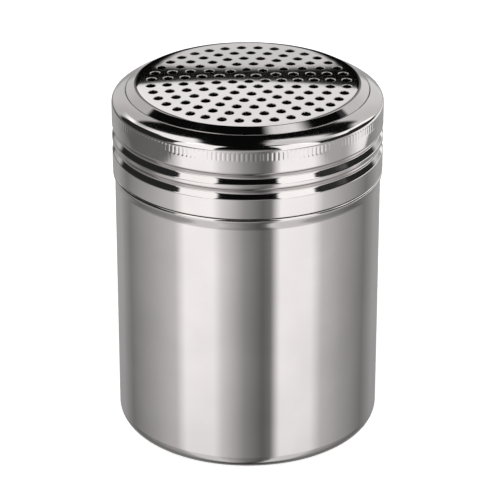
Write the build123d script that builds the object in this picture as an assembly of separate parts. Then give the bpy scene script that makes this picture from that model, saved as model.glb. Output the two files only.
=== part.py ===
from build123d import *
import os
from math import cos, radians, sin, tan

# Stainless steel spice shaker: a drawn canister with a two-piece push-on cap.
# The cap ring comes down to a stop bead on the canister and grips its neck with
# two rolled beads. Its lip holds a loose, perforated sifter plate on the rim.
# Frame: +Z up along the common axis, origin at the centre of the base.
# Lengths are in millimetres and angles in degrees.

# --- Whole shaker -----------------------------------------------------------
overall_height = 95.25  # table to the crown of the sifter plate, 3 3/4 in
cap_diameter = 69.85  # over the cap's wall, 2 3/4 in
sheet = 0.5  # thickness of the steel of all three pieces

# --- Fits -------------------------------------------------------------------
grip_fit = 0.05  # radial, between the cap's beads and the neck
seat_gap = 0.05  # upright, between the cap ring and the sifter plate under it
stop_gap = 0.2  # upright, between the skirt's end and the canister's slope under it
brim_side_gap = 0.6  # radial, between the plate's brim and the ring's wall

# --- Sifter plate -----------------------------------------------------------
dome_rise = 0.65  # crown of the disc above its edge
disc_edge_radius = 0.8
brim_bend_radius = 0.6
hole_diameter = 2.3
hole_rings = 6
holes_in_first_ring = 6
hole_margin = 3.9  # radial, from the outermost ring of holes to the disc's edge
hole_pattern_turn = 5.0  # from +X to the row where all the rings line up

# --- Cap ring ---------------------------------------------------------------
shoulder_width = 3.7  # radial, from the lip to the wall
lip_reach = 2.1  # radial, from the edge of the disc to the ring's lip
lip_drop = 1.38  # top of the lip, below the edge of the disc
lip_edge_radius = 0.18
upper_shoulder_width = 1.6  # radial, from the lip to where the shoulder steepens
upper_shoulder_angle = 27.0  # from level
lower_shoulder_angle = 36.5
shoulder_break_radius = 6.0  # bend between the shoulder's two slopes
shoulder_bend_radius = 1.6  # bend from the shoulder to the wall
bead_drops = (11.83, 15.88)  # middle of each bead, below the edge of the disc
bead_width = 3.0
bead_floor_width = 0.4
bead_depth = 0.75
bead_edge_radius = 0.8
bead_floor_radius = 0.6
skirt_drop = 22.5  # end of the skirt, below the edge of the disc
skirt_curl = 0.1  # how far the end of the skirt turns in
skirt_curl_height = 0.4
skirt_curl_radius = 0.6

# --- Canister ---------------------------------------------------------------
body_inset = 0.525  # radial, from the cap's wall in to the body's
base_corner_radius = 3.9
base_panel_diameter = 52.0  # middle of the base, pushed up off the table
base_panel_rise = 0.7
base_panel_slope = 2.0  # radial run of the slope round the panel
base_panel_radius = 1.2
stop_bead_depth = 0.5  # radial, how far the stop bead stands out of the body
stop_bead_foot_height = 1.7  # slope from the body out to the bead's crest
stop_bead_foot_radius = 3.0
stop_bead_crest_height = 0.6
stop_bead_crest_radius = 1.5
neck_slope_angle = 39.0  # slope from the bead's crest in to the neck, from level
neck_slope_radius = 0.6

# --- Sizes that follow ------------------------------------------------------
cap_radius = cap_diameter / 2
body_radius = cap_radius - body_inset
disc_edge_z = overall_height - dome_rise
skirt_end_z = disc_edge_z - skirt_drop

# The neck runs inside the crests that the beads press into the cap.
neck_radius = cap_radius - bead_depth - sheet - grip_fit

# The slope from the stop bead in to the neck passes just under the skirt's end.
skirt_inner_radius = cap_radius - sheet - skirt_curl
neck_slope = tan(radians(neck_slope_angle))
neck_foot_z = skirt_end_z - stop_gap + (skirt_inner_radius - neck_radius) * neck_slope

# The ring's shoulder slopes down from the lip, gently and then more steeply.
lip_radius = cap_radius - shoulder_width
shoulder_break = lip_radius + upper_shoulder_width
upper_tilt = radians(upper_shoulder_angle)
lower_tilt = radians(lower_shoulder_angle)

# The disc stands in the opening of the lip, and the rings of holes fill it.
disc_radius = lip_radius - lip_reach
ring_spacing = (disc_radius - hole_margin) / hole_rings


def shoulder_z(radius):
    """Height of the top of the ring's shoulder at a radius."""
    upper_drop = (min(radius, shoulder_break) - lip_radius) * tan(upper_tilt)
    lower_drop = max(radius - shoulder_break, 0) * tan(lower_tilt)
    return disc_edge_z - lip_drop - upper_drop - lower_drop


# The plate's brim lies just under the outer end of that shoulder.
brim_radius = cap_radius - sheet - brim_side_gap
brim_z = shoulder_z(brim_radius) - sheet / cos(lower_tilt) - seat_gap
rim_z = brim_z - sheet

# The plate's riser passes just under the lower corner of the lip.
riser_slope = (lip_drop + sheet * cos(upper_tilt) + seat_gap) / (
    lip_reach - sheet * sin(upper_tilt)
)
riser_run = (disc_edge_z - brim_z) / riser_slope


def sheet_section(outline, inner_side):
    """Half section of even sheet, from the line of its outer face."""
    return make_face(offset(outline, sheet, side=inner_side).edges())


def spin(section):
    """Solid of revolution about the shaker's axis."""
    return revolve(Plane.XZ * section, Axis.Z)


def canister():
    """Drawn cup: raised base panel, rounded base corner, stop bead and neck."""
    panel_radius = base_panel_diameter / 2
    crest_radius = body_radius + stop_bead_depth
    crest_top_z = neck_foot_z - (crest_radius - neck_radius) * neck_slope
    crest_foot_z = crest_top_z - stop_bead_crest_height
    outline = FilletPolyline(
        (0, base_panel_rise),
        (panel_radius - base_panel_slope, base_panel_rise),
        (panel_radius, 0),
        (body_radius, 0),
        (body_radius, crest_foot_z - stop_bead_foot_height),
        (crest_radius, crest_foot_z),
        (crest_radius, crest_top_z),
        (neck_radius, neck_foot_z),
        (neck_radius, rim_z),
        radius=(
            base_panel_radius,
            base_panel_radius,
            base_corner_radius,
            stop_bead_foot_radius,
            stop_bead_crest_radius,
            neck_slope_radius,
            neck_slope_radius,
        ),
    )
    return spin(sheet_section(outline, Side.LEFT))


def cap_wall(wall_radius):
    """Points and bends of one face of the ring's wall, from bead to skirt."""
    points = []
    bends = []
    for drop in bead_drops:
        middle_z = disc_edge_z - drop
        points += [
            (wall_radius, middle_z + bead_width / 2),
            (wall_radius - bead_depth, middle_z + bead_floor_width / 2),
            (wall_radius - bead_depth, middle_z - bead_floor_width / 2),
            (wall_radius, middle_z - bead_width / 2),
        ]
        bends += [bead_edge_radius, bead_floor_radius]
        bends += [bead_floor_radius, bead_edge_radius]
    points += [
        (wall_radius, skirt_end_z + skirt_curl_height),
        (wall_radius - skirt_curl, skirt_end_z),
    ]
    bends += [skirt_curl_radius]
    return points, bends


def cap_ring():
    """Ring with a two-slope shoulder, a plain wall, two beads and a skirt."""
    outer_wall, outer_bends = cap_wall(cap_radius)
    outer_face = FilletPolyline(
        (lip_radius, shoulder_z(lip_radius)),
        (shoulder_break, shoulder_z(shoulder_break)),
        (cap_radius, shoulder_z(cap_radius)),
        *outer_wall,
        radius=[shoulder_break_radius, shoulder_bend_radius] + outer_bends,
    )

    # The inner face keeps one sheet away from the outer face.
    lip_inset = sheet * sin(upper_tilt), sheet * cos(upper_tilt)
    break_tilt = (upper_tilt + lower_tilt) / 2
    break_depth = sheet / cos((lower_tilt - upper_tilt) / 2)
    break_inset = break_depth * sin(break_tilt), break_depth * cos(break_tilt)
    inner_radius = cap_radius - sheet
    inner_wall, inner_bends = cap_wall(inner_radius)
    inner_face = FilletPolyline(
        (lip_radius - lip_inset[0], shoulder_z(lip_radius) - lip_inset[1]),
        (shoulder_break - break_inset[0], shoulder_z(shoulder_break) - break_inset[1]),
        (inner_radius, shoulder_z(inner_radius) - sheet / cos(lower_tilt)),
        *inner_wall,
        radius=[shoulder_break_radius - sheet, shoulder_bend_radius - sheet] + inner_bends,
    )
    lip_edge = Line(outer_face @ 0, inner_face @ 0)
    skirt_edge = Line(outer_face @ 1, inner_face @ 1)
    section = make_face([outer_face, inner_face, lip_edge, skirt_edge])
    lip_corners = section.vertices().sort_by(Axis.X)[:2]
    return spin(fillet(lip_corners, lip_edge_radius))


def sifter_holes():
    """Punches for one hole in the middle and rings of 6, 12, 18 and so on."""
    punches = Sketch() + Circle(hole_diameter / 2)
    for ring in range(1, hole_rings + 1):
        punches += PolarLocations(
            ring * ring_spacing,
            ring * holes_in_first_ring,
            start_angle=hole_pattern_turn,
        ) * Circle(hole_diameter / 2)
    return extrude(punches, overall_height)


def sifter_plate():
    """Low dome in a sloping riser, with a flat brim that lies on the rim."""
    dome_radius = (disc_radius**2 + dome_rise**2) / (2 * dome_rise)
    brim_start_radius = disc_radius + riser_run
    with BuildLine() as outline:
        crown = (0, overall_height)
        disc_edge = (disc_radius, disc_edge_z)
        RadiusArc(crown, disc_edge, dome_radius)
        Polyline(disc_edge, (brim_start_radius, brim_z), (brim_radius, brim_z))
        fillet(outline.vertices().sort_by(Axis.X)[1], disc_edge_radius)
        fillet(outline.vertices().sort_by(Axis.X)[-2], brim_bend_radius)
    plate = spin(sheet_section(outline.line, Side.RIGHT))
    return plate - sifter_holes()


parts = {
    "canister": canister(),
    "cap_ring": cap_ring(),
    "sifter_plate": sifter_plate(),
}

os.makedirs("parts", exist_ok=True)
for name, shape in parts.items():
    export_step(shape, f"parts/{name}.step")
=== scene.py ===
import math

import bpy
from mathutils import Matrix, Vector
from mathutils.geometry import delaunay_2d_cdt


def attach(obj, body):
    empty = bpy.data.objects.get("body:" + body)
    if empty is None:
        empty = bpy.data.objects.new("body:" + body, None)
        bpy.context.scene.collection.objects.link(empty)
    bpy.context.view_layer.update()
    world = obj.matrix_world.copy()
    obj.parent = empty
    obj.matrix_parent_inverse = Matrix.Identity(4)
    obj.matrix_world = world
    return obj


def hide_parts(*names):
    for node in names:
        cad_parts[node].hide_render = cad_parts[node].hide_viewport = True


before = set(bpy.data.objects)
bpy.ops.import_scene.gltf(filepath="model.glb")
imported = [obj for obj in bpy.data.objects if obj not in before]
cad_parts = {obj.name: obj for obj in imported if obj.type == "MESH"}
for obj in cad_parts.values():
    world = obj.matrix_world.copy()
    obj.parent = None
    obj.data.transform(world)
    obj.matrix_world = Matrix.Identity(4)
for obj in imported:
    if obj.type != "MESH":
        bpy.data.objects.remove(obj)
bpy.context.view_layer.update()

MM = 0.001


# --- Shader nodes as expressions --------------------------------------------
class Level:
    """One output of a node, such as a number that varies over a surface."""

    def __init__(self, finish, socket):
        self.finish = finish
        self.socket = socket

    def maths(self, operation, *others):
        values = dict(enumerate([self, *others]))
        return self.finish.node("ShaderNodeMath", {"operation": operation}, values)

    def __add__(self, other):
        return self.maths("ADD", other)

    def __radd__(self, other):
        return self.maths("ADD", other)

    def __sub__(self, other):
        return self.maths("SUBTRACT", other)

    def __rsub__(self, other):
        return self.maths("MULTIPLY", -1) + other

    def __mul__(self, other):
        return self.maths("MULTIPLY", other)

    def __rmul__(self, other):
        return self.maths("MULTIPLY", other)

    def __truediv__(self, other):
        return self.maths("DIVIDE", other)

    def __abs__(self):
        return self.maths("ABSOLUTE")

    def least(self, other):
        """The smaller of the two."""
        return self.maths("MINIMUM", other)

    def most(self, other):
        """The larger of the two."""
        return self.maths("MAXIMUM", other)

    def rise(self, low, high):
        """0 below low, 1 above high and a smooth step between them."""
        settings = {"interpolation_type": "SMOOTHSTEP"}
        sockets = {"Value": self, "From Min": low, "From Max": high}
        return self.finish.node("ShaderNodeMapRange", settings, sockets)

    def fall(self, low, high):
        """1 below low, 0 above high and a smooth step between them."""
        return 1 - self.rise(low, high)

    def band(self, low, high, soft):
        """1 between low and high, fading to 0 over soft to each side of both."""
        return self.rise(low - soft, low + soft) * self.fall(high - soft, high + soft)


class Finish:
    """The node tree of one material or of the room's light."""

    def __init__(self, owner):
        owner.use_nodes = True
        self.tree = owner.node_tree
        self.tree.nodes.clear()

    def place(self, kind, settings=None, sockets=None):
        """A node with its settings, and the values or links of its sockets."""
        made = self.tree.nodes.new(kind)
        for name, value in (settings or {}).items():
            if name == "stops":
                self.set_stops(made.color_ramp, value)
            else:
                setattr(made, name, value)
        for name, value in (sockets or {}).items():
            if isinstance(value, Level):
                self.tree.links.new(value.socket, made.inputs[name])
            else:
                made.inputs[name].default_value = value
        return made

    def node(self, kind, settings=None, sockets=None, out=0):
        """One output of a new node, ready for sums."""
        return Level(self, self.place(kind, settings, sockets).outputs[out])

    def noise(self, place, scale, detail):
        """Soft cloudy noise between 0 and 1."""
        sockets = {"Vector": place, "Scale": scale, "Detail": detail}
        return self.node("ShaderNodeTexNoise", None, sockets)

    def mix(self, share, first, second):
        """Two colours in the shares that a level gives."""
        sockets = {0: share, 6: first, 7: second}
        return self.node("ShaderNodeMix", {"data_type": "RGBA"}, sockets, out=2)

    def set_stops(self, ramp, stops):
        """Grey stops along a ramp, each a place and a level."""
        while len(ramp.elements) > 1:
            ramp.elements.remove(ramp.elements[0])
        for number, (place, level) in enumerate(stops):
            stop = ramp.elements[0] if number == 0 else ramp.elements.new(place)
            stop.position = place
            stop.color = (level, level, level, 1)

    def split(self, vector):
        """The X, Y and Z of a vector."""
        parts = self.place("ShaderNodeSeparateXYZ", None, {"Vector": vector})
        return [Level(self, socket) for socket in parts.outputs]

    def camera_sees(self):
        """1 for what the camera sees directly, and 0 for light and reflections."""
        return self.node("ShaderNodeLightPath", out="Is Camera Ray")


# --- The studio's walls -----------------------------------------------------
# The room is painted by direction, in degrees. A turn goes round from the
# camera's side, from -180 on the left to 180 on the right, and the side is the
# turn without its sign. A height is above level. A level of 1 is plain white.
FLOOR_GLOW = (
    (-180, 0.37),
    (-144, 0.40),
    (-124, 0.23),
    (-90, 0.46),
    (-66, 0.67),
    (-56, 1.18),
    (-30, 1.18),
    (-22, 0.82),
    (-3, 0.34),
    (13, 0.15),
    (20, 0.22),
    (28, 1.18),
    (57, 1.12),
    (68, 0.66),
    (90, 0.44),
    (121, 0.22),
    (144, 0.39),
    (180, 0.37),
)
SOFTBOX_LEVEL = 1.25
FRONT_LEVEL = 0.55
LEFT_WEDGE_LEVEL = 1.2
RIGHT_PATCH_LEVEL = 0.75
DIM_WALL_LEVEL = 0.02
LOW_CARD_LEVEL = 0.74
DARKEST_LEVEL = 0.003


def floor_light(room, turn, height):
    """Light that comes up off the floor, and less of it from steeply below."""
    stops = [(0.5 + degrees / 360, level) for degrees, level in FLOOR_GLOW]
    glow = room.node("ShaderNodeValToRGB", {"stops": stops}, {"Fac": turn / 360 + 0.5})
    below = 0 - height
    return glow * (1.03 - 0.38 * below.rise(24, 36) - 0.55 * below.rise(64, 86))


def front_light(turn, side, height):
    """A softbox on each side of the camera, and a low wall between them."""
    softboxes = turn.band(-61.5, -27, 1.5) + turn.band(27, 60.5, 1.5)
    softboxes = softboxes * height.band(-25, 62, 3) * SOFTBOX_LEVEL
    wall = side.fall(8, 42) * height.fall(-8, 26) * FRONT_LEVEL
    return softboxes + wall


def left_wedge(turn, side, height):
    """A bright wedge high on the left, whose lower edge sinks towards the back."""
    edge = 41 - 0.3 * (side - 90).most(0) + 7 * side.band(94, 122, 5)
    above_edge = (height - edge).rise(-4, 4)
    return turn.band(-136, -58, 7) * above_edge * height.fall(66, 71) * LEFT_WEDGE_LEVEL


def right_wall(turn, height):
    """A pale wall on the right over a sinking edge, with a brighter low patch."""
    edge = 24 - 0.37 * (turn - 80) + 10 * turn.band(96, 118, 5)
    lit = (height - edge).rise(-1, 5)
    level = 0.38 + 0.35 * height.rise(30, 55) + 0.2 * turn.rise(88, 108)
    wall = turn.band(57, 129, 3) * (DIM_WALL_LEVEL + lit * level)
    wall = wall * (1 - turn.rise(105, 114) * height.rise(34, 42)) * height.fall(78, 84)
    patch = turn.band(84, 128, 4) * lit * height.fall(36, 44) * RIGHT_PATCH_LEVEL
    return wall + patch


def backdrop(turn, side, height):
    """A wall on each side of the back, whose top climbs towards the middle."""
    edge = (30 + 1.1 * (side - 124)).least(50)
    level = 0.55 + 0.12 * turn.rise(-90, 90) + 0.1 * side.rise(140, 155)
    return side.band(128, 168, 4) * (height - edge).fall(-3, 3) * level


def back_cards(turn, side, height):
    """Two bright cards behind the shaker, with a narrow dark gap between them."""
    behind = 180 - side
    offside = behind * (2 * turn.rise(-1, 1) - 1)

    # The high card starts over a slightly hollow edge. The low one widens as it
    # goes up and ends under a rounded edge.
    high_edge = 21.78 + 0.06 * offside + 0.01 * offside * offside
    high_card = behind.band(-1, 9, 0.6) * (height - high_edge).rise(-0.1, 0.1)
    high_card = high_card * height.fall(46, 50) * (0.99 - 0.012 * offside)
    low_edge = 20 - 0.06 * offside * offside
    low_card = (behind - 0.3 * (height - 19)).band(-4, 3.6, 0.35) * height.rise(3, 6)
    low_card = low_card * (height - low_edge).fall(-0.45, 0.45) * LOW_CARD_LEVEL
    return high_card + low_card


def light_room():
    """The walls and the floor's glow, round and under the shaker."""
    world = bpy.data.worlds.new("studio")
    bpy.context.scene.world = world
    room = Finish(world)
    x, y, z = room.split(room.node("ShaderNodeTexCoord", out="Generated"))
    degrees = 180 / math.pi
    turn = x.maths("ARCTAN2", y * -1) * degrees
    height = z.maths("ARCSINE") * degrees
    side = abs(turn)

    # The dark ceiling hangs over the back, lower on the left than on the right.
    under_ceiling = (z + 0.8 * y - 0.05 * turn.rise(-60, 60)).fall(0.985, 1.005)
    sides = (left_wedge(turn, side, height) + right_wall(turn, height)) * under_ceiling
    left_wall = turn.band(-132, -62, 8) * height.fall(30, 45) * DIM_WALL_LEVEL
    front = front_light(turn, side, height)
    back = backdrop(turn, side, height) + back_cards(turn, side, height)
    walls = front + left_wall + sides + back + DARKEST_LEVEL

    # The walls take over from the floor at the horizon, and lower at the sides.
    share = (height.rise(-24.5, -12) * side.band(66, 128, 4)).most(height.rise(-6, 2))
    studio = floor_light(room, turn, height) * (1 - share) + walls * share

    # To the camera the room is plain white.
    seen = room.camera_sees()
    strength = studio * (1 - seen) + seen
    light = room.node("ShaderNodeBackground", None, {"Color": (1, 1, 1, 1), "Strength": strength})
    room.place("ShaderNodeOutputWorld", None, {"Surface": light})


# --- The floor, the lamps and the camera ------------------------------------
# Lengths here are in metres and angles in degrees, where a name doesn't say
# otherwise.
FLOOR_SIZE = 6
FLOOR_WHITE = (0.9, 0.9, 0.9, 1)
FLOOR_LIFT = 0.55

CARD_SIZE = (0.5, 1.2, 1)
CARD_OUT = 0.455
CARD_Z = 0.0005

LAMP_PLACE = Vector((0.9, -1.0, 0.9))
LAMP_SIZE = (0.7, 1.2)
LAMP_POWER = 12
LAMP_AIM = Vector((0, 0, 0.05))

CAMERA_ELEVATION = 25.385
CAMERA_DISTANCE = 0.6885
CAMERA_AIM = Vector((0, 0, 0.04713))
SENSOR_MM = 36
PICTURE_PIXELS = 500
FOCAL_PIXELS = 2614.5
SHIFT_PIXELS = 2.38


def lay_floor():
    """A white sheet under the shaker, which keeps its shadow."""
    bpy.ops.mesh.primitive_plane_add(size=FLOOR_SIZE)
    floor = bpy.context.object
    floor.name = "floor"
    floor.visible_glossy = False
    sheet = bpy.data.materials.new("white_sheet")
    finish = Finish(sheet)
    lift = finish.camera_sees() * FLOOR_LIFT
    matt = finish.node("ShaderNodeBsdfDiffuse", None, {"Color": FLOOR_WHITE})
    glow = finish.node("ShaderNodeEmission", None, {"Strength": lift})
    both = finish.node("ShaderNodeAddShader", None, {0: matt, 1: glow})
    finish.place("ShaderNodeOutputMaterial", None, {"Surface": both})
    floor.data.materials.append(sheet)


def floor_card(name, side, front_level, back_level):
    """A card beside the sheet, which only shows as a reflection high on the cap."""
    bpy.ops.mesh.primitive_plane_add(size=1, location=(side * CARD_OUT, 0, CARD_Z))
    card = bpy.context.object
    card.name = name
    card.scale = CARD_SIZE
    card.visible_camera = False
    card.visible_diffuse = False
    card.visible_shadow = False
    board = bpy.data.materials.new(name)
    finish = Finish(board)
    y = finish.split(finish.node("ShaderNodeNewGeometry", out="Position"))[1]
    level = front_level + (back_level - front_level) * y.rise(-0.03, 0.05)
    glow = finish.node("ShaderNodeEmission", None, {"Strength": level})
    finish.place("ShaderNodeOutputMaterial", None, {"Surface": glow})
    card.data.materials.append(board)


def softbox(name, side):
    """An upright lamp beside the camera, turned to the shaker's middle."""
    lamp = bpy.data.lights.new(name, "AREA")
    lamp.shape = "RECTANGLE"
    lamp.size, lamp.size_y = LAMP_SIZE
    lamp.energy = LAMP_POWER
    stand = bpy.data.objects.new(name, lamp)
    stand.location = LAMP_PLACE * Vector((side, 1, 1))
    stand.rotation_euler = (LAMP_AIM - stand.location).to_track_quat("-Z", "Y").to_euler()
    stand.visible_glossy = False
    bpy.context.scene.collection.objects.link(stand)


def set_camera():
    """The camera looks down on the shaker from the front."""
    elevation = math.radians(CAMERA_ELEVATION)
    lens = bpy.data.cameras.new("camera")
    lens.sensor_width = SENSOR_MM
    lens.lens = SENSOR_MM * FOCAL_PIXELS / PICTURE_PIXELS
    lens.shift_x = SHIFT_PIXELS / PICTURE_PIXELS
    camera = bpy.data.objects.new("camera", lens)
    back = Vector((0, -math.cos(elevation), math.sin(elevation)))
    camera.location = CAMERA_AIM + back * CAMERA_DISTANCE
    camera.rotation_euler = (-back).to_track_quat("-Z", "Y").to_euler()
    bpy.context.scene.collection.objects.link(camera)
    bpy.context.scene.camera = camera


# --- Turned sheet metal -----------------------------------------------------
# Lengths here are in millimetres, angles in radians and heights above the base.
# Radii are from the axis, and a bend is the radius of a rounded corner.
SHEET = 0.5

# The ring, down its outer face.
CAP_RADIUS = 34.925
LIP_RADIUS = 31.225
LIP_Z = 93.22
LIP_TOP_BEND = 0.17
LIP_UNDER_BEND = 0.1
UPPER_TILT = math.radians(27)
SHOULDER_BREAK = 32.825
BREAK_BEND = 14.0
LOWER_TILT = math.radians(36.5)
WALL_BEND = 1.9
BEADS = (82.77, 78.72)
BEAD_HALF_WIDTH = 1.5
BEAD_EDGE_BEND = 0.8
BEAD_FLOOR_HALF_WIDTH = 0.2
BEAD_FLOOR_BEND = 0.6
BEAD_DEPTH = 0.75
SKIRT_TURN_HEIGHT = 0.15
SKIRT_TURN_BEND = 0.1
SKIRT_TURN_IN = 0.1
SKIRT_END_Z = 72.0
SKIRT_END_BEND = 0.08

# The knurled band: its rows of points lie closer together where it fades out.
KNURLS = 190
KNURL_DEPTH = 0.026
KNURL_ROWS = (89.86, 89.74, 89.62, 89.5, 89.2, 88.7, 88.2, 87.9, 87.7, 87.5, 87.3)
KNURL_TOP_FADE = 0.4
KNURL_FOOT_FADE = 0.6

# The plate's disc, whose margin beyond the holes rolls down a little.
CROWN_Z = 95.25
DOME_RADIUS = 652.8
DISC_RADIUS = 29.125
PUNCHED_RADIUS = 27.7
MARGIN_RADII = (27.5, PUNCHED_RADIUS, 28.0, 28.3, 28.6)
MARGIN_DROP = 0.13

# The holes, in rings round a point that is a little off the axis.
HOLE_RADIUS = 1.15
HOLE_RINGS = 6
HOLES_IN_FIRST_RING = 6
HOLE_MARGIN = 4.05
HOLE_SPACING = (DISC_RADIUS - HOLE_MARGIN) / HOLE_RINGS
HOLE_TURN = math.radians(4.5)
HOLE_SHIFT = Vector((0.33, -0.87))
RIM_WIDTH = 0.26
RIM_DROP = 0.13
RIM_TURNS = [math.radians(turn) for turn in (0, 25, 50, 70, 90)]
RIM_POINTS = 28
EDGE_BREAK = 0.05

# The edge of a hole, from the top to the underside: radius, depth below the
# top, lean of the surface into the hole, and 1 or -1 where it faces up or down.
HOLE_EDGE = [
    *(
        (
            HOLE_RADIUS + RIM_WIDTH * (1 - math.sin(turn)),
            RIM_DROP * (1 - math.cos(turn)),
            math.atan2(RIM_DROP * math.sin(turn), RIM_WIDTH * math.cos(turn)),
            1,
        )
        for turn in RIM_TURNS
    ),
    (HOLE_RADIUS, SHEET - EDGE_BREAK, math.pi / 2, 1),
    (HOLE_RADIUS + EDGE_BREAK, SHEET, 0, -1),
]

# The plate's riser and brim: the riser's corners are radius, height and bend.
DISC_EDGE_BEND = 0.5
DISC_UNDER_BEND = 0.3
RISER_AT_LIP = (31.12, 93.12, 0.06)
RISER_UNDER_LIP = (31.17, 92.56, 0.1)
RISER_INSIDE = (30.58, 92.75, 0.15)
INSIDE_STEP = 0.2
BRIM_START_RADIUS = 32.733
BRIM_START_BEND = 0.1
BRIM_UNDER_BEND = 0.6
BRIM_RADIUS = 33.825
BRIM_EDGE_BEND = 0.12
BRIM_Z = 90.987

# Points round a plain and a knurled row, and the turn of one facet of a bend.
ROUND_STEPS = 2 * KNURLS
KNURL_STEPS = 6 * KNURLS
FACET = math.radians(6.5)

# Small steps round and up the wall, for the slope of the knurling, and how near
# to each other two places are to count as one.
TURN_STEP = 1e-4
HEIGHT_STEP = 0.05
ON_WALL = 1e-3
SAME_SPOT = 1e-6


def bent(corners):
    """Points and outward normals round a closed section with bent corners."""
    section = []
    for index, (radius, z, bend) in enumerate(corners):
        corner = Vector((radius, z))
        into = (corner - Vector(corners[index - 1][:2])).normalized()
        out = (Vector(corners[(index + 1) % len(corners)][:2]) - corner).normalized()
        turn = math.atan2(into.x * out.y - into.y * out.x, into.dot(out))
        side = math.copysign(1, -turn)
        start = corner - into * bend * math.tan(abs(turn) / 2)
        centre = start - side * bend * Vector((-into.y, into.x))
        steps = math.ceil(abs(turn) / FACET) if bend else 0
        for step in range(steps + 1):
            # A corner without a bend is one point, which faces halfway.
            share = step / steps if steps else 0.5
            heading = math.atan2(into.y, into.x) + turn * share
            normal = Vector((-math.sin(heading), math.cos(heading)))
            section.append((centre + side * bend * normal, normal))
    return section


class Skin:
    """The points and faces of one piece, with the true normal at every point."""

    def __init__(self):
        self.points = []
        self.normals = []
        self.faces = []

    def point(self, place, normal):
        self.points.append(Vector(place) * MM)
        self.normals.append(Vector(normal).normalized())
        return len(self.points) - 1

    def row(self, place, normal, count=ROUND_STEPS, sunk=None):
        """A ring of points round the axis, which sunk may press inwards."""
        radius, z = place
        row = []
        for step in range(count):
            angle = 2 * math.pi * step / count
            depth = along = up = 0
            if sunk:
                depth = sunk(angle, z)
                ahead, back = sunk(angle + TURN_STEP, z), sunk(angle - TURN_STEP, z)
                along = (ahead - back) / (2 * TURN_STEP) / radius
                above, below = sunk(angle, z + HEIGHT_STEP), sunk(angle, z - HEIGHT_STEP)
                up = (above - below) / (2 * HEIGHT_STEP)
            turn = Matrix.Rotation(angle, 3, "Z")
            spot = turn @ Vector((radius - depth, 0, z))
            row.append(self.point(spot, turn @ Vector((normal.x, along, normal.y + up))))
        return row

    def join(self, upper, lower):
        """Faces between two rings, of which one may have more points."""
        cells = min(len(upper), len(lower))
        for cell in range(cells):
            low, high = span(lower, cell, cells), span(upper, cell, cells)
            self.faces.append([*low, *reversed(high)])

    def fill(self, loops, up):
        """The flat faces between the first loop and the others, which lie inside it."""
        numbers = [number for loop in loops for number in loop]
        owners = [owner for owner, loop in enumerate(loops) for _ in loop]
        flat = [self.points[number].to_2d() / MM for number in numbers]
        _, _, faces, sources, *_ = delaunay_2d_cdt(flat, [], [], 0, SAME_SPOT)
        for face in faces:
            corners = [sources[corner][0] for corner in face]
            inside = {owners[corner] for corner in corners}
            if len(inside) > 1 or 0 in inside:
                self.faces.append([numbers[c] for c in (corners if up else reversed(corners))])

    def piece(self, name, body, node, material):
        """Makes the piece, which stands for the CAD node."""
        mesh = bpy.data.meshes.new(name)
        mesh.from_pydata(self.points, [], self.faces)
        mesh.shade_smooth()
        mesh.normals_split_custom_set_from_vertices(self.normals)
        mesh.materials.append(material)
        made = bpy.data.objects.new(name, mesh)
        bpy.context.scene.collection.objects.link(made)
        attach(made, body)
        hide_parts(node)


def span(row, cell, cells):
    """The points of a closed ring along one of its cells."""
    share = len(row) // cells
    return [row[step % len(row)] for step in range(cell * share, (cell + 1) * share + 1)]


def shoulder_z(radius):
    """Height of the top of the ring's shoulder at a radius."""
    upper_drop = (min(radius, SHOULDER_BREAK) - LIP_RADIUS) * math.tan(UPPER_TILT)
    lower_drop = max(radius - SHOULDER_BREAK, 0) * math.tan(LOWER_TILT)
    return LIP_Z - upper_drop - lower_drop


def wall_corners(radius):
    """Corners of one face of the ring's wall, from the first bead to the skirt."""
    corners = []
    for middle in BEADS:
        for side in (1, -1):
            floor_z = middle + side * BEAD_FLOOR_HALF_WIDTH
            floor = (radius - BEAD_DEPTH, floor_z, BEAD_FLOOR_BEND)
            edge = (radius, middle + side * BEAD_HALF_WIDTH, BEAD_EDGE_BEND)
            corners += (edge, floor)[::side]
    return [
        *corners,
        (radius, SKIRT_END_Z + SKIRT_TURN_HEIGHT, SKIRT_TURN_BEND),
        (radius - SKIRT_TURN_IN, SKIRT_END_Z, SKIRT_END_BEND),
    ]


def knurl(angle, z):
    """How deep the knurling is pressed into the wall."""
    top = min(max((KNURL_ROWS[0] - z) / KNURL_TOP_FADE, 0), 1)
    foot = min(max((z - KNURL_ROWS[-1]) / KNURL_FOOT_FADE, 0), 1)
    fade = (top * foot) ** 2 * (3 - 2 * top * foot)
    return KNURL_DEPTH * fade * (0.5 + 0.5 * math.cos(KNURLS * angle)) ** 2


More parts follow.
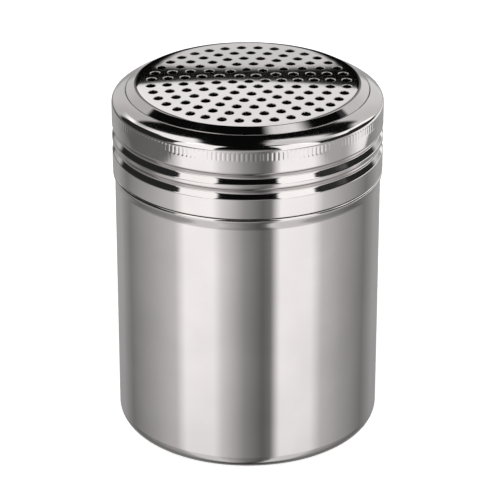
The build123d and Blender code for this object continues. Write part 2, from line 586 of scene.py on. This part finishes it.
def cap_ring(material):
    """The ring, with its knurled band."""
    outer = [
        (LIP_RADIUS, LIP_Z, LIP_TOP_BEND),
        (SHOULDER_BREAK, shoulder_z(SHOULDER_BREAK), BREAK_BEND),
        (CAP_RADIUS, shoulder_z(CAP_RADIUS), WALL_BEND),
        *((CAP_RADIUS, z, 0) for z in KNURL_ROWS),
        *wall_corners(CAP_RADIUS),
    ]

    # The inner face keeps one sheet away from the outer face.
    break_tilt = (UPPER_TILT + LOWER_TILT) / 2
    break_radius = SHOULDER_BREAK - SHEET * math.sin(break_tilt)
    break_z = shoulder_z(SHOULDER_BREAK) - SHEET * math.cos(break_tilt)
    inner_radius = CAP_RADIUS - SHEET
    inner_z = shoulder_z(inner_radius) - SHEET / math.cos(LOWER_TILT)
    inner = [
        (LIP_RADIUS, LIP_Z - SHEET / math.cos(UPPER_TILT), LIP_UNDER_BEND),
        (break_radius, break_z, BREAK_BEND - SHEET),
        (inner_radius, inner_z, WALL_BEND - SHEET),
        *wall_corners(inner_radius),
    ]

    ring = Skin()
    rows = []
    for place, normal in bent(outer + inner[::-1]):
        on_wall = abs(place.x - CAP_RADIUS) < ON_WALL
        if on_wall and KNURL_ROWS[-1] < place.y < KNURL_ROWS[0]:
            rows.append(ring.row(place, normal, KNURL_STEPS, knurl))
        else:
            rows.append(ring.row(place, normal))
    for upper, lower in zip(rows, rows[1:] + rows[:1]):
        ring.join(upper, lower)
    ring.piece("cap_ring_knurled", "cap", "cap_ring", material)


def disc_z(radius):
    """Height of the top of the domed disc, whose margin rolls down a little."""
    dome = CROWN_Z - DOME_RADIUS + math.sqrt(DOME_RADIUS**2 - radius**2)
    share = max(radius - PUNCHED_RADIUS, 0) / (DISC_RADIUS - PUNCHED_RADIUS)
    return dome - MARGIN_DROP * share**2


def hole_centres():
    """One hole in the middle and rings of 6, 12, 18 and so on."""
    centres = [HOLE_SHIFT]
    for ring in range(1, HOLE_RINGS + 1):
        holes = HOLES_IN_FIRST_RING * ring
        for hole in range(holes):
            angle = HOLE_TURN + 2 * math.pi * hole / holes
            away = Vector((math.cos(angle), math.sin(angle)))
            centres.append(HOLE_SHIFT + ring * HOLE_SPACING * away)
    return centres


def hole_circle(plate, centre, radius, depth, lean, way):
    """A circle of points in the edge of a hole."""
    circle = []
    for step in range(RIM_POINTS):
        angle = 2 * math.pi * step / RIM_POINTS
        away = Vector((math.cos(angle), math.sin(angle)))
        spot = centre + radius * away
        upright = Vector((spot.x / DOME_RADIUS, spot.y / DOME_RADIUS, 1)).normalized()
        normal = way * math.cos(lean) * upright - math.sin(lean) * away.to_3d()
        circle.append(plate.point((*spot, disc_z(spot.length) - depth), normal))
    return circle


def sifter_plate(material):
    """The plate, with the edges of its holes drawn in by the punch."""
    # The margin, riser and brim run out on top and back in underneath. Their
    # first and last corners only lead the sheet in and out.
    corners = [
        *((radius, disc_z(radius), 0) for radius in MARGIN_RADII),
        (DISC_RADIUS, disc_z(DISC_RADIUS), DISC_EDGE_BEND),
        RISER_AT_LIP,
        RISER_UNDER_LIP,
        (BRIM_START_RADIUS, BRIM_Z, BRIM_START_BEND),
        (BRIM_RADIUS, BRIM_Z, BRIM_EDGE_BEND),
        (BRIM_RADIUS, BRIM_Z - SHEET, BRIM_EDGE_BEND),
        (BRIM_START_RADIUS - INSIDE_STEP, BRIM_Z - SHEET, BRIM_UNDER_BEND),
        RISER_INSIDE,
        (DISC_RADIUS - INSIDE_STEP, disc_z(DISC_RADIUS) - SHEET, DISC_UNDER_BEND),
        *((radius, disc_z(radius) - SHEET, 0) for radius in MARGIN_RADII[1::-1]),
    ]
    plate = Skin()
    rows = [plate.row(place, normal) for place, normal in bent(corners)[1:-1]]
    for upper, lower in zip(rows, rows[1:]):
        plate.join(upper, lower)

    tops, undersides = [rows[0]], [rows[-1]]
    for centre in hole_centres():
        circles = [hole_circle(plate, centre, *shape) for shape in HOLE_EDGE]
        for outer, inner in zip(circles, circles[1:]):
            plate.join(inner, outer)
        tops.append(circles[0])
        undersides.append(circles[-1])
    plate.fill(tops, up=True)
    plate.fill(undersides, up=False)
    plate.piece("sifter_plate_punched", "sifter", "sifter_plate", material)


# --- Steel ------------------------------------------------------------------
PALE_STEEL = (0.765, 0.732, 0.723, 1)
DEEP_STEEL = (0.71, 0.679, 0.671, 1)
# Painted shade: the dark colour that stands for the shade in the seam under the skirt and on the
# holes' walls.
PAINTED_SHADE_COLOUR = (0.05, 0.045, 0.04, 1)
PAINTED_SHADE_ROUGHNESS = 0.4

# Depths below the dome's face, and heights and radii of the seam, where shade is painted dark, in
# millimetres.
HOLE_SHADE_DEPTHS = (0.1, 0.44)
SEAM_HEIGHTS = (71.66, 72.3)
SEAM_RADII = (33.9, 34)

# How quickly the finish varies, in steps to the metre.
LINE_WANDER = 35
BLOOM_SCALE = 55
GRAIN_SCALE = 3200


def in_hole(radius, z):
    """1 on the cut walls of the holes, below the dome's face, where their shade is painted."""
    depth = CROWN_Z - radius * radius / (2 * DOME_RADIUS) - z
    return depth.band(*HOLE_SHADE_DEPTHS, 0.03) * radius.fall(PUNCHED_RADIUS, PUNCHED_RADIUS + 0.2)


def in_seam(radius, z):
    """1 in the seam under the end of the skirt, where the shadow of the gap between the parts is
    painted.
    """
    return z.band(*SEAM_HEIGHTS, 0.05) * radius.rise(*SEAM_RADII)


def steel(name, roughness, stretch, lines, line_depth, speckle, shade_mask=None):
    """Bright stainless steel with fine turned lines, a soft bloom and grain, and shade painted
    dark where a mask is given.

    There are about so many lines to the metre, and their depth is in millimetres.
    """
    material = bpy.data.materials.new(name)
    finish = Finish(material)
    place = finish.node("ShaderNodeTexCoord", out="Object")
    x, y, z = finish.split(place)
    radius = (x * x + y * y).maths("SQRT")

    # The lines run round the axis and wander a little along their length.
    ways = {"X": radius * lines, "Y": z * lines, "Z": (x + 0.6 * y) * LINE_WANDER}
    line = finish.noise(finish.node("ShaderNodeCombineXYZ", None, ways), 1, 3)
    bloom = finish.noise(place, BLOOM_SCALE, 3)
    grain = finish.noise(place, GRAIN_SCALE, 2)

    cloud = (bloom + speckle * (grain - 0.5)).rise(0.3, 0.7)
    colour = finish.mix(cloud, DEEP_STEEL, PALE_STEEL)
    rough = roughness * (0.75 + 0.35 * bloom + 0.3 * line) + 0.02 * (grain - 0.5)
    # Painted shade: where the mask is 1 the colour goes dark and the steel rougher.
    if shade_mask:
        painted_shade = shade_mask(radius / MM, z / MM)
        colour = finish.mix(painted_shade, colour, PAINTED_SHADE_COLOUR)
        rough = rough + PAINTED_SHADE_ROUGHNESS * painted_shade
    relief = {"Strength": 1.0, "Distance": line_depth * MM, "Height": line + 0.3 * grain}
    sockets = {
        "Base Color": colour,
        "Metallic": 1.0,
        "Roughness": rough,
        "Anisotropic": stretch,
        "Anisotropic Rotation": 0.25,
        "Normal": finish.node("ShaderNodeBump", None, relief),
    }
    surface = finish.node("ShaderNodeBsdfPrincipled", None, sockets)
    finish.place("ShaderNodeOutputMaterial", None, {"Surface": surface})
    return material


# --- The shaker in its studio -----------------------------------------------
bpy.context.scene.view_settings.view_transform = "Standard"
set_camera()
light_room()
lay_floor()
softbox("softbox_left", -1)
softbox("softbox_right", 1)
floor_card("floor_card_left", -1, front_level=0.16, back_level=0.14)
floor_card("floor_card_right", 1, front_level=0.46, back_level=1.1)

brushed = steel(
    "canister_brushed",
    roughness=0.09,
    stretch=0.5,
    lines=2500,
    line_depth=0.0004,
    speckle=0.3,
    shade_mask=in_seam,
)
satin = steel(
    "cap_ring_satin",
    roughness=0.07,
    stretch=0.3,
    lines=3000,
    line_depth=0.0004,
    speckle=0.4,
)
polished = steel(
    "sifter_plate_polished",
    roughness=0.035,
    stretch=0.0,
    lines=2500,
    line_depth=0.0003,
    speckle=1.5,
    shade_mask=in_hole,
)
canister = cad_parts["canister"].data
canister.materials.clear()
canister.materials.append(brushed)
cap_ring(satin)
sifter_plate(polished)
